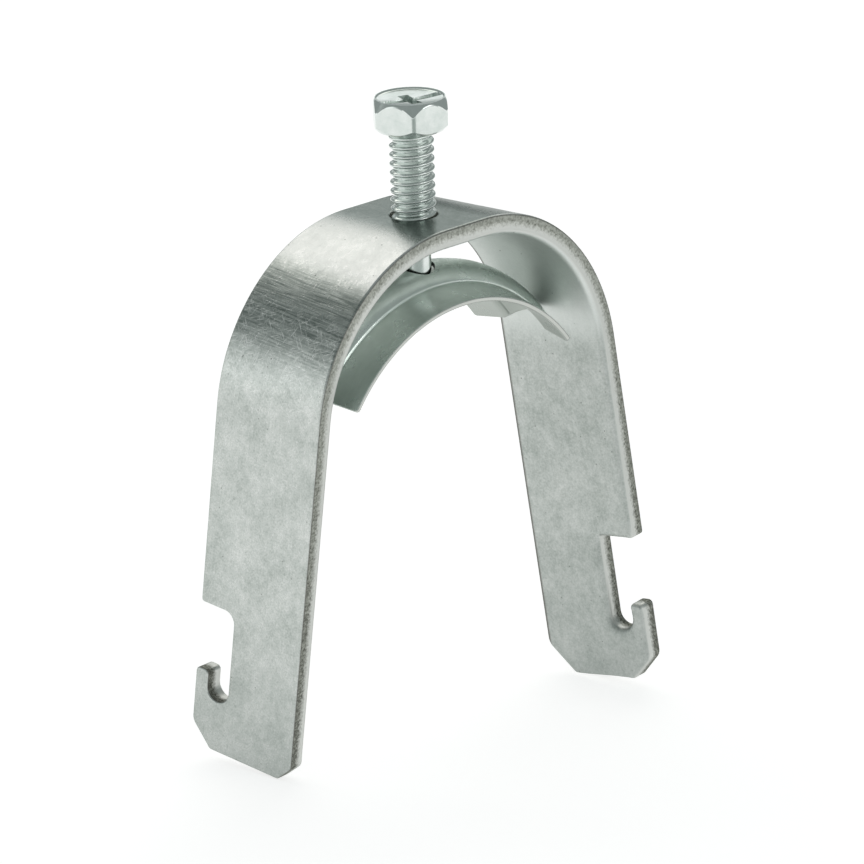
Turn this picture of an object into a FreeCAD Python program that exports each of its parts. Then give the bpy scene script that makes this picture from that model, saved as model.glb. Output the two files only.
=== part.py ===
import FreeCAD, Part
import math
import os

from FreeCAD import Vector

# Strut clamp in millimetres: X runs along the strut, Y along the held conduit, Z up.
# The screw axis is the Z axis, and the lower corner of the strap's feet lies at Z = 0.

# Strap: one flat strip, bent into a U around an axis that is turned by the skew angle
STRIP_WIDTH = 18.0
STRIP_THICKNESS = 2.9
STRIP_HALF_LENGTH = 89.3
BEND_RADIUS = 20.2
CROWN_FLAT = 7.4
LEG_SPLAY_DEG = 1.8
BEND_SKEW_DEG = 7.2

# Hook at each foot, heights measured along the strip from the foot's end
NOTCH_TOP = 21.5
NOTCH_DEPTH = 6.0
NOTCH_FILLET_LEFT = 1.8
NOTCH_FILLET_RIGHT = 0.4
SLOT_WIDTH = 3.8
SLOT_BOTTOM = 7.5
HOOK_TIP = 11.6
HOOK_TIP_RADIUS = 0.7
HOOK_CHAMFER = 3.4
PLAIN_CHAMFER_LEFT = 2.2
PLAIN_CHAMFER_RIGHT = 4.2

# Clamp screw
THREAD_DIAMETER = 6.25
THREAD_CLEARANCE = 0.05
HOLE_MOUTH_CHAMFER = 0.3
HEAD_ACROSS_FLATS = 9.9
HEAD_HEIGHT = 4.5
HEAD_TOP_CHAMFER = 0.12
HEAD_TOP_CHAMFER_DEG = 63.0
HEAD_BOTTOM_CHAMFER = 0.25
HEAD_CORNER_ANGLE_DEG = -10.0
HEAD_CORNER_RADIUS = 0.8
HEAD_ABOVE_STRAP = 12.1
DISH_RADIUS_SHARE = 0.82
DISH_DEPTH = 0.5
SLOT_ACROSS_HEAD = 1.5
SLOT_DEPTH = 1.3
CROSS_LENGTH = 4.6
CROSS_DEPTH = 1.8
SLOT_ANGLE_DEG = -22.0
PILOT_DIAMETER = 4.4
PILOT_PLAY = 2.4
SHANK_END_CHAMFER = 0.5
FLARE_START = 0.5
FLARE_DEPTH = 1.7
FLARE_LIP = 0.35

# Saddle: an arched plate with a round rib along its length and flanges that slope down to their edges
SADDLE_RADIUS = 24.9
SADDLE_THICKNESS = 0.7
SADDLE_WIDTH = 19.0
SADDLE_END_GAP = 0.12
FLANGE_DROP = 1.05
RIB_BASE_WIDTH = 8.0
RIB_HEIGHT = 2.25
RIB_BEND = 0.5
SADDLE_BELOW_STRAP = 4.3
PILOT_CLEARANCE = 0.5
FLARE_GAP = 0.3

# Values that follow from the sizes above
SPLAY = math.radians(LEG_SPLAY_DEG)
SKEW = math.radians(BEND_SKEW_DEG)
HALF_WIDTH = STRIP_WIDTH / 2.0
OUTER_RADIUS = BEND_RADIUS + STRIP_THICKNESS
BEND_ANGLE = math.pi / 2.0 - SPLAY
HALF_FLAT = CROWN_FLAT / 2.0
LEG_START = HALF_FLAT + (BEND_RADIUS + STRIP_THICKNESS / 2.0) * BEND_ANGLE
THREAD_RADIUS = THREAD_DIAMETER / 2.0
PILOT_RADIUS = PILOT_DIAMETER / 2.0
HOLE_RADIUS = THREAD_RADIUS + THREAD_CLEARANCE
SADDLE_HOLE_RADIUS = PILOT_RADIUS + PILOT_CLEARANCE
SADDLE_CREST = SADDLE_RADIUS + SADDLE_THICKNESS + FLANGE_DROP + RIB_HEIGHT
RIB_RADIUS = ((RIB_BASE_WIDTH / 2.0) ** 2 + RIB_HEIGHT ** 2) / (2.0 * RIB_HEIGHT)
SADDLE_CENTRE = -STRIP_THICKNESS - SADDLE_BELOW_STRAP - SADDLE_CREST


def saddle_half_arc():
    """Angle, in degrees, from the saddle's crown to the end that keeps its gap inside the strap's bend."""
    rise = -OUTER_RADIUS - SADDLE_CENTRE
    offset = math.hypot(HALF_FLAT, rise)
    reach = BEND_RADIUS - SADDLE_END_GAP
    swing = math.acos((SADDLE_CREST ** 2 + offset ** 2 - reach ** 2) / (2.0 * SADDLE_CREST * offset))
    return math.degrees(math.atan2(HALF_FLAT, rise) + swing)


def rounded_outline(corners):
    """Closed wire in the XY plane through corners given as (x, y, fillet radius)."""
    count = len(corners)
    pieces = []
    for index, (x, y, radius) in enumerate(corners):
        here = Vector(x, y, 0)
        before = Vector(corners[index - 1][0], corners[index - 1][1], 0) - here
        after_corner = corners[(index + 1) % count]
        after = Vector(after_corner[0], after_corner[1], 0) - here
        before.normalize()
        after.normalize()
        half = before.getAngle(after) / 2.0
        if radius <= 0.0:
            pieces.append((here, None, here))
            continue
        reach = radius / math.tan(half)
        bisector = before + after
        bisector.normalize()
        middle = here + bisector * (radius / math.sin(half) - radius)
        pieces.append((here + before * reach, middle, here + after * reach))
    edges = []
    for index, (start, middle, end) in enumerate(pieces):
        if middle is not None:
            edges.append(Part.Arc(start, middle, end).toShape())
        following = pieces[(index + 1) % count][0]
        if end.distanceToPoint(following) > 1e-6:
            edges.append(Part.makeLine(end, following))
    return Part.Wire(edges)


def place(shape, origin, along_x, along_y):
    """Copy of a shape drawn in the XY plane, set on the plane of two unit vectors."""
    normal = along_x.cross(along_y)
    matrix = FreeCAD.Matrix(
        along_x.x, along_y.x, normal.x, origin.x,
        along_x.y, along_y.y, normal.y, origin.y,
        along_x.z, along_y.z, normal.z, origin.z,
        0, 0, 0, 1,
    )
    placed = shape.copy()
    placed.Placement = FreeCAD.Placement(matrix)
    return placed


def bend_point(angle, radius):
    """Point of the right-hand bend at an angle from the crown, in the plane Y = 0."""
    x = HALF_FLAT + radius * math.sin(angle)
    z = radius * math.cos(angle) - OUTER_RADIUS
    return Vector(x, 0, z)


def strip_edges(distance):
    """Both edges of the skewed strip in Y at a distance along the bent profile."""
    centre = -distance * math.tan(SKEW)
    reach = HALF_WIDTH / math.cos(SKEW)
    return centre - reach, centre + reach


def make_crown():
    """Flat crown of the strap, from bend to bend."""
    right_front, right_back = strip_edges(HALF_FLAT)
    left_front, left_back = strip_edges(-HALF_FLAT)
    corners = [
        Vector(-HALF_FLAT, left_front, -STRIP_THICKNESS),
        Vector(HALF_FLAT, right_front, -STRIP_THICKNESS),
        Vector(HALF_FLAT, right_back, -STRIP_THICKNESS),
        Vector(-HALF_FLAT, left_back, -STRIP_THICKNESS),
    ]
    face = Part.Face(Part.makePolygon(corners + corners[:1]))
    return face.extrude(Vector(0, 0, STRIP_THICKNESS))


def make_bend():
    """Right-hand bend: a cylinder sector cut to the skewed strip by a helical slab."""
    reach = 3.0 * STRIP_WIDTH
    start = bend_point(0.0, BEND_RADIUS)
    profile = Part.Wire([
        Part.makeLine(start, bend_point(0.0, OUTER_RADIUS)),
        Part.Arc(
            bend_point(0.0, OUTER_RADIUS),
            bend_point(BEND_ANGLE / 2.0, OUTER_RADIUS),
            bend_point(BEND_ANGLE, OUTER_RADIUS),
        ).toShape(),
        Part.makeLine(bend_point(BEND_ANGLE, OUTER_RADIUS), bend_point(BEND_ANGLE, BEND_RADIUS)),
        Part.Arc(
            bend_point(BEND_ANGLE, BEND_RADIUS),
            bend_point(BEND_ANGLE / 2.0, BEND_RADIUS),
            start,
        ).toShape(),
    ])
    sector = Part.Face(profile).extrude(Vector(0, 2.0 * reach, 0))
    sector.translate(Vector(0, -reach, 0))
    sections = []
    steps = 10
    for index in range(-1, steps + 2):
        angle = BEND_ANGLE * index / steps
        distance = HALF_FLAT + (BEND_RADIUS + STRIP_THICKNESS / 2.0) * angle
        front, back = strip_edges(distance)
        inner = bend_point(angle, BEND_RADIUS - STRIP_THICKNESS)
        outer = bend_point(angle, OUTER_RADIUS + STRIP_THICKNESS)
        corners = [
            inner + Vector(0, front, 0),
            outer + Vector(0, front, 0),
            outer + Vector(0, back, 0),
            inner + Vector(0, back, 0),
        ]
        sections.append(Part.makePolygon(corners + corners[:1]))
    slab = Part.makeLoft(sections, True, False)
    return sector.common(slab)


def make_leg(notch_fillet, plain_chamfer):
    """Right-hand leg with its hook, drawn on the flat strip and set on the splayed leg plane."""
    wall = HALF_WIDTH - NOTCH_DEPTH
    tip_side = wall + SLOT_WIDTH
    slot_radius = SLOT_WIDTH / 2.0
    end = STRIP_HALF_LENGTH
    start_plain = (LEG_START - HALF_WIDTH * math.sin(SKEW)) / math.cos(SKEW)
    start_hook = (LEG_START + HALF_WIDTH * math.sin(SKEW)) / math.cos(SKEW)
    corners = [
        (start_plain, -HALF_WIDTH, 0),
        (start_hook, HALF_WIDTH, 0),
        (end - NOTCH_TOP, HALF_WIDTH, 0),
        (end - NOTCH_TOP, wall, notch_fillet),
        (end - SLOT_BOTTOM, wall, slot_radius),
        (end - SLOT_BOTTOM, tip_side, slot_radius),
        (end - HOOK_TIP, tip_side, HOOK_TIP_RADIUS),
        (end - HOOK_TIP, HALF_WIDTH, HOOK_TIP_RADIUS),
        (end - HOOK_CHAMFER, HALF_WIDTH, HOOK_CHAMFER / 2.0),
        (end, HALF_WIDTH - HOOK_CHAMFER, HOOK_CHAMFER / 4.0),
        (end, plain_chamfer - HALF_WIDTH, plain_chamfer / 4.0),
        (end - plain_chamfer, -HALF_WIDTH, plain_chamfer / 2.0),
    ]
    down = Vector(math.sin(SPLAY), 0, -math.cos(SPLAY))
    hook_side = Vector(0, -1, 0)
    along = down * math.cos(SKEW) + hook_side * math.sin(SKEW)
    across = hook_side * math.cos(SKEW) - down * math.sin(SKEW)
    origin = bend_point(BEND_ANGLE, OUTER_RADIUS) - down * LEG_START
    face = place(Part.Face(rounded_outline(corners)), origin, along, across)
    inward = Vector(-math.cos(SPLAY), 0, -math.sin(SPLAY))
    return face.extrude(inward * STRIP_THICKNESS)


def half_turn(shape):
    """Copy of a shape turned half round the screw axis."""
    turned = shape.copy()
    turned.rotate(Vector(0, 0, 0), Vector(0, 0, 1), 180.0)
    return turned


def make_strap():
    """Bent strip with both hooks and the hole for the screw, crown top at Z = 0."""
    bend = make_bend()
    right = make_leg(NOTCH_FILLET_RIGHT, PLAIN_CHAMFER_RIGHT)
    left = half_turn(make_leg(NOTCH_FILLET_LEFT, PLAIN_CHAMFER_LEFT))
    strap = make_crown().multiFuse([bend, half_turn(bend), right, left], 1e-5).removeSplitter()
    depth = STRIP_THICKNESS
    hole = Part.makeCylinder(HOLE_RADIUS, depth, Vector(0, 0, -depth))
    mouth = HOLE_MOUTH_CHAMFER
    upper = Part.makeCone(HOLE_RADIUS, HOLE_RADIUS + mouth, mouth, Vector(0, 0, -mouth))
    lower = Part.makeCone(HOLE_RADIUS + mouth, HOLE_RADIUS, mouth, Vector(0, 0, -depth))
    strap = strap.cut(hole.fuse([upper, lower]))
    strap.rotate(Vector(0, 0, 0), Vector(0, 0, 1), BEND_SKEW_DEG)
    return strap.Solids[0]


def saddle_half(depth):
    """Right half of the saddle's section at a depth in the sheet, as distance aside and radius.

    The points are the crest, the end of the rib's arc, the middle and the end of the bend, and the flange's edge.
    """
    base = RIB_BASE_WIDTH / 2.0
    side = SADDLE_WIDTH / 2.0
    slope = math.atan2(FLANGE_DROP, side - base)
    along = Vector(math.cos(slope), -math.sin(slope), 0)
    out = Vector(math.sin(slope), math.cos(slope), 0)
    crease = Vector(base, SADDLE_CREST - RIB_HEIGHT, 0)
    edge = crease + along * ((side - base) / math.cos(slope))
    centre = Vector(0, SADDLE_CREST - RIB_RADIUS, 0)
    start = crease + out * RIB_BEND - centre
    dot = start.dot(along)
    reach = math.sqrt(dot * dot - start.dot(start) + (RIB_RADIUS + RIB_BEND) ** 2) - dot
    bend = centre + start + along * reach
    to_rib = centre - bend
    to_rib.normalize()
    between = to_rib - out
    between.normalize()
    radius = RIB_BEND + depth
    return [
        Vector(0, SADDLE_CREST - depth, 0),
        bend + to_rib * radius,
        bend + between * radius,
        bend - out * radius,
        edge - out * depth,
    ]


def make_saddle():
    """Ribbed plate revolved into an arch, with the hole for the pilot in its rib."""
    edges = []
    corners = []
    for depth in (0.0, SADDLE_THICKNESS):
        crest, rib, bend, flange, edge = saddle_half(depth)
        left = [Vector(-point.x, point.y, 0) for point in (rib, bend, flange, edge)]
        edges += [
            Part.makeLine(left[3], left[2]),
            Part.Arc(left[2], left[1], left[0]).toShape(),
            Part.Arc(left[0], crest, rib).toShape(),
            Part.Arc(rib, bend, flange).toShape(),
            Part.makeLine(flange, edge),
        ]
        corners.append((left[3], edge))
    edges += [Part.makeLine(corners[0][side], corners[1][side]) for side in (0, 1)]
    section = Part.Face(Part.Wire(Part.__sortEdges__(edges)))
    section = place(section, Vector(0, 0, 0), Vector(0, 1, 0), Vector(0, 0, 1))
    axis = Vector(0, 1, 0)
    half_arc = saddle_half_arc()
    section.rotate(Vector(0, 0, 0), axis, -half_arc)
    saddle = section.revolve(Vector(0, 0, 0), axis, 2.0 * half_arc)
    hole = Part.makeCylinder(SADDLE_HOLE_RADIUS, 2.0 * SADDLE_CREST)
    saddle = saddle.cut(hole)
    saddle.translate(Vector(0, 0, SADDLE_CENTRE))
    return saddle.Solids[0]


def make_head(bottom):
    """Hexagon head with chamfered corners, a dished top, a slot and a cross recess."""
    corner = HEAD_ACROSS_FLATS / math.sqrt(3.0)
    flat = HEAD_ACROSS_FLATS / 2.0
    top = bottom + HEAD_HEIGHT
    points = []
    for index in range(6):
        angle = math.radians(HEAD_CORNER_ANGLE_DEG + 60.0 * index)
        points.append((corner * math.cos(angle), corner * math.sin(angle), HEAD_CORNER_RADIUS))
    hexagon = Part.Face(rounded_outline(points)).extrude(Vector(0, 0, HEAD_HEIGHT))
    hexagon.translate(Vector(0, 0, bottom))
    low_rim = flat - HEAD_BOTTOM_CHAMFER
    high_rim = flat - HEAD_TOP_CHAMFER
    limit = Part.makePolygon([
        Vector(0, 0, bottom),
        Vector(low_rim, 0, bottom),
        Vector(corner, 0, bottom + corner - low_rim),
        Vector(corner, 0, top - (corner - high_rim) * math.tan(math.radians(HEAD_TOP_CHAMFER_DEG))),
        Vector(high_rim, 0, top),
        Vector(0, 0, top),
        Vector(0, 0, bottom),
    ])
    turned = Part.Face(limit).revolve(Vector(0, 0, 0), Vector(0, 0, 1), 360)
    head = hexagon.common(turned)
    dish = DISH_RADIUS_SHARE * flat
    floor = top - DISH_DEPTH
    hollow = Part.makeCone(dish - DISH_DEPTH, dish, DISH_DEPTH, Vector(0, 0, floor))
    slot = Part.makeBox(
        2.0 * (dish - DISH_DEPTH), SLOT_ACROSS_HEAD, SLOT_DEPTH,
        Vector(DISH_DEPTH - dish, -SLOT_ACROSS_HEAD / 2.0, top - SLOT_DEPTH),
    )
    cross = Part.makeBox(
        SLOT_ACROSS_HEAD, CROSS_LENGTH, CROSS_DEPTH,
        Vector(-SLOT_ACROSS_HEAD / 2.0, -CROSS_LENGTH / 2.0, top - CROSS_DEPTH),
    )
    recess = slot.fuse(cross)
    recess.rotate(Vector(0, 0, 0), Vector(0, 0, 1), SLOT_ANGLE_DEG)
    return head.cut(hollow.fuse(recess))


def make_bolt():
    """Screw with its head, shank, plain pilot and flared end, strap crown top at Z = 0."""
    crest = -STRIP_THICKNESS - SADDLE_BELOW_STRAP
    shank_end = crest + PILOT_PLAY
    under = crest - SADDLE_THICKNESS
    inner_rib = RIB_RADIUS - SADDLE_THICKNESS
    flare_radius = math.sqrt(FLARE_DEPTH * (2.0 * inner_rib - FLARE_DEPTH)) - FLARE_GAP
    end = under - FLARE_DEPTH - FLARE_LIP
    outline = Part.makePolygon([
        Vector(0, 0, end),
        Vector(flare_radius - FLARE_LIP / 2.0, 0, end),
        Vector(flare_radius, 0, end + FLARE_LIP / 2.0),
        Vector(flare_radius, 0, end + FLARE_LIP),
        Vector(PILOT_RADIUS, 0, under - FLARE_START),
        Vector(PILOT_RADIUS, 0, shank_end),
        Vector(THREAD_RADIUS - SHANK_END_CHAMFER, 0, shank_end),
        Vector(THREAD_RADIUS, 0, shank_end + SHANK_END_CHAMFER),
        Vector(THREAD_RADIUS, 0, HEAD_ABOVE_STRAP),
        Vector(0, 0, HEAD_ABOVE_STRAP),
        Vector(0, 0, end),
    ])
    stem = Part.Face(outline).revolve(Vector(0, 0, 0), Vector(0, 0, 1), 360)
    return stem.fuse(make_head(HEAD_ABOVE_STRAP)).removeSplitter().Solids[0]


strap = make_strap()
height = -strap.BoundBox.ZMin
nodes = {"strap": strap, "saddle": make_saddle(), "bolt": make_bolt()}
os.makedirs("parts", exist_ok=True)
for name, shape in nodes.items():
    shape.translate(Vector(0, 0, height))
    shape.exportStep("parts/" + name + ".step")
    box = shape.BoundBox
    print(name, shape.isValid(), shape.ShapeType, round(shape.Volume, 1), len(shape.Faces))
    print("  x %.3f %.3f" % (box.XMin, box.XMax))
    print("  y %.3f %.3f" % (box.YMin, box.YMax))
    print("  z %.3f %.3f" % (box.ZMin, box.ZMax))
print("crown top", round(height, 3))
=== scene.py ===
"""Strut clamp: galvanised strap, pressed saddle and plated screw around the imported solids."""

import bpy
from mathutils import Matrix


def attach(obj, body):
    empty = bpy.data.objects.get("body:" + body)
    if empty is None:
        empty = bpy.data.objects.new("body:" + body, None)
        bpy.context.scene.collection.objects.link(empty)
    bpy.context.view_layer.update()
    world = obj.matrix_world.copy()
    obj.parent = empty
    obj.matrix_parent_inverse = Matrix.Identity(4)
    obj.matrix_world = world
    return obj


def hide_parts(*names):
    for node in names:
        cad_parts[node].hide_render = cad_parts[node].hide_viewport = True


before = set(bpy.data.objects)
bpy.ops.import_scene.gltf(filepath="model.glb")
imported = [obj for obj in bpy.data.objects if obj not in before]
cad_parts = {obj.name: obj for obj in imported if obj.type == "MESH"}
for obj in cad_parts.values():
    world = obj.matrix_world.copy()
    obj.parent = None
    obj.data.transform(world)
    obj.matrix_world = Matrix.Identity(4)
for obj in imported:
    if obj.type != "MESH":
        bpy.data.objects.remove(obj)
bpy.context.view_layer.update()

import logging
import math
from abc import ABC, abstractmethod
from dataclasses import dataclass
from enum import Enum

import bpy
import numpy as np
from mathutils import Matrix, Vector
from mathutils.geometry import delaunay_2d_cdt

LOG = logging.getLogger("strut_clamp")
# Sizes are in millimetres, and MM turns them into Blender's metres.
MM = 0.001
# Height of the crown's top above the lowest corner of the feet.
CROWN_HEIGHT = 74.836
# Points on each fillet of an outline, and the least distance between neighbours.
FILLET_POINTS = 13
CLOSEST = 0.005
# Points on each rounding of a cut edge, and on its straight wall with both ends.
ROUND_POINTS = 7
WALL_POINTS = 6
# Room for the rounding at a corner that turns at least so far, in radians.
LEAST_TURN = 0.01
ROOM_SHARE = 0.75
ROOM_GROWTH = 0.5
FREE_ROOM = 1000.0
TINY = 1e-9
# Gap between the grid and the outlines as a share of the grid, and the mesher's tolerance.
GRID_GAP = 0.6
TOLERANCE = 1e-7
# Cosine of the slope where a cut edge starts to show, and the span over which it grows.
CUT_START = 0.7
CUT_SPAN = 0.25
# Radius of the innermost ring round a pole.
HUB = 0.02
# Distance under the head within which an edge still belongs to the head.
EDGE_SLACK = 0.01

Array = np.ndarray
Socket = bpy.types.NodeSocket
Tree = bpy.types.NodeTree
Stops = tuple[tuple[float, str], ...]


class Body(Enum):
    """CAD bodies that the pieces ride on, named like their nodes."""

    STRAP = "strap"
    SADDLE = "saddle"
    SCREW = "bolt"


class Slot(Enum):
    """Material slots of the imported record."""

    STRIP = "galvanised_strip"
    SHEET = "zinc_plated_sheet"
    SCREW = "zinc_plated_screw"


def hex_to_linear(code: str) -> tuple[float, float, float, float]:
    """Turns an sRGB hex colour into linear RGBA.

    The sRGB curve is a straight line near black and a power of 2.4 above it.

    Args:
        code: Colour as "#RRGGBB".

    Returns:
        Linear red, green and blue, and an alpha of one.
    """
    shares = np.array([int(code[i : i + 2], 16) for i in (1, 3, 5)]) / 255.0
    linear = np.where(shares <= 0.04045, shares / 12.92, ((shares + 0.055) / 1.055) ** 2.4)
    return (*linear.tolist(), 1.0)


def add_node(
    tree: Tree,
    kind: str,
    inputs: dict | None = None,
    out: int | str = 0,
    ramp: Stops = (),
    **settings: object,
) -> Socket | None:
    """Adds one shader node with its settings, values and links.

    Args:
        tree: Node tree that gets the node.
        kind: Blender's type name without its ShaderNode start.
        inputs: Socket name or index to a value, or to an output socket to link.
        out: Name or index of the output that is handed back.
        ramp: Stops of a colour ramp as (position, hex colour).
        settings: Attributes set on the node itself.

    Returns:
        The chosen output socket, or None for a node without outputs.
    """
    node = tree.nodes.new("ShaderNode" + kind)
    for key, value in settings.items():
        setattr(node, key, value)
    for key, value in (inputs or {}).items():
        if isinstance(value, Socket):
            tree.links.new(value, node.inputs[key])
        else:
            node.inputs[key].default_value = value
    for place, (position, code) in enumerate(ramp):
        elements = node.color_ramp.elements
        element = elements[place] if place < len(elements) else elements.new(position)
        element.position = position
        element.color = hex_to_linear(code)
    return node.outputs[out] if node.outputs else None


def blank_material(name: str) -> tuple[bpy.types.Material, Tree]:
    """Makes a material without nodes.

    Args:
        name: Name of the material.

    Returns:
        The material and its empty node tree.
    """
    material = bpy.data.materials.new(name)
    material.use_nodes = True
    material.node_tree.nodes.clear()
    return material, material.node_tree


@dataclass(frozen=True)
class Cloud:
    """Noise with clouds of about a given size, in the unit of the place it is drawn at."""

    size: float
    detail: float
    harshness: float = 0.5
    warp: float = 0.0

    def inputs(self, spot: Socket) -> dict:
        """Values that draw the noise at a place."""
        return {
            "Vector": spot, "Scale": 1.0 / self.size, "Detail": self.detail,
            "Roughness": self.harshness, "Distortion": self.warp,
        }


@dataclass(frozen=True)
class Fade:
    """Share that goes from its base, where a value is at the start, to its top at the end."""

    start: float
    end: float
    top: float = 1.0
    base: float = 0.0

    def inputs(self, value: Socket) -> dict:
        """Values that give the share of a distance in millimetres, or of a pattern."""
        return {
            "Value": value, "From Min": self.start, "From Max": self.end,
            "To Min": self.base, "To Max": self.top,
        }


@dataclass(frozen=True)
class SheetPlace:
    """Where a point lies on the flat sheet, as sockets in millimetres.

    These are the flat place itself, the distance from the screw along the sheet, the place across
    it, the depth below the outer face and the share of cut edge.
    """

    tree: Tree
    spot: Socket
    away: Socket
    across: Socket
    depth: Socket
    cut: Socket

    @classmethod
    def read(cls, tree: Tree) -> "SheetPlace":
        """Reads the piece's own attributes.

        Args:
            tree: Node tree of the material.

        Returns:
            The place of the shaded point.
        """
        spot = add_node(tree, "Attribute", out="Vector", attribute_name="strip")
        cut = add_node(tree, "Attribute", out="Fac", attribute_name="cut")
        axes = add_node(tree, "SeparateXYZ", {"Vector": spot}).node.outputs
        away = add_node(tree, "Math", {0: axes["X"]}, operation="ABSOLUTE")
        return cls(tree, spot, away, axes["Y"], axes["Z"], cut)


@dataclass(frozen=True)
class Wear:
    """Shares of the marks that forming and use left on the strip, and of painted shade at the
    feet, as sockets.
    """

    pressed: Socket
    drawn: Socket
    crown: Socket
    # Forming lines, and painted shade towards the feet.
    dark: Socket
    scratch: Socket


@dataclass(frozen=True)
class Surface:
    """What a finish shows: a ground colour and roughness, the coats over them and the relief.

    Each coat has its share, with a hex colour or a colour socket, or with a roughness.
    """

    ground: Socket
    coats: tuple[tuple[Socket, str | Socket], ...]
    rough: Socket
    rough_coats: tuple[tuple[Socket, float], ...]
    height: Socket


@dataclass(frozen=True)
class Finish(ABC):
    """Metal surface, given by what the eye gets from it: colour, gloss and fine relief."""

    name: str
    glancing: str = "#FFFFFF"
    relief_mm: float = 0.03
    relief_strength: float = 0.05

    @abstractmethod
    def surface(self, tree: Tree) -> Surface:
        """Builds the patterns.

        Args:
            tree: Node tree of the material.

        Returns:
            The surface that the patterns make.
        """

    def material(self) -> bpy.types.Material:
        """Makes the metal, and lays each coat over what is there as far as its share goes.

        Returns:
            The finished material.
        """
        material, tree = blank_material(self.name)
        seen = self.surface(tree)
        colour, rough = seen.ground, seen.rough
        for share, coat in seen.coats:
            over = hex_to_linear(coat) if isinstance(coat, str) else coat
            inputs = {"Factor": share, 6: colour, 7: over}
            colour = add_node(tree, "Mix", inputs, out=2, data_type="RGBA")
        for share, over in seen.rough_coats:
            rough = add_node(tree, "Mix", {"Factor": share, 2: rough, 3: over}, data_type="FLOAT")
        bump = add_node(tree, "Bump", {
            "Strength": self.relief_strength,
            "Distance": self.relief_mm * MM,
            "Height": seen.height,
        })
        metal = add_node(tree, "BsdfPrincipled", {
            "Base Color": colour, "Metallic": 1.0, "Roughness": rough, "Normal": bump,
            "Specular Tint": hex_to_linear(self.glancing),
        })
        add_node(tree, "OutputMaterial", {"Surface": metal})
        return material


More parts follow.
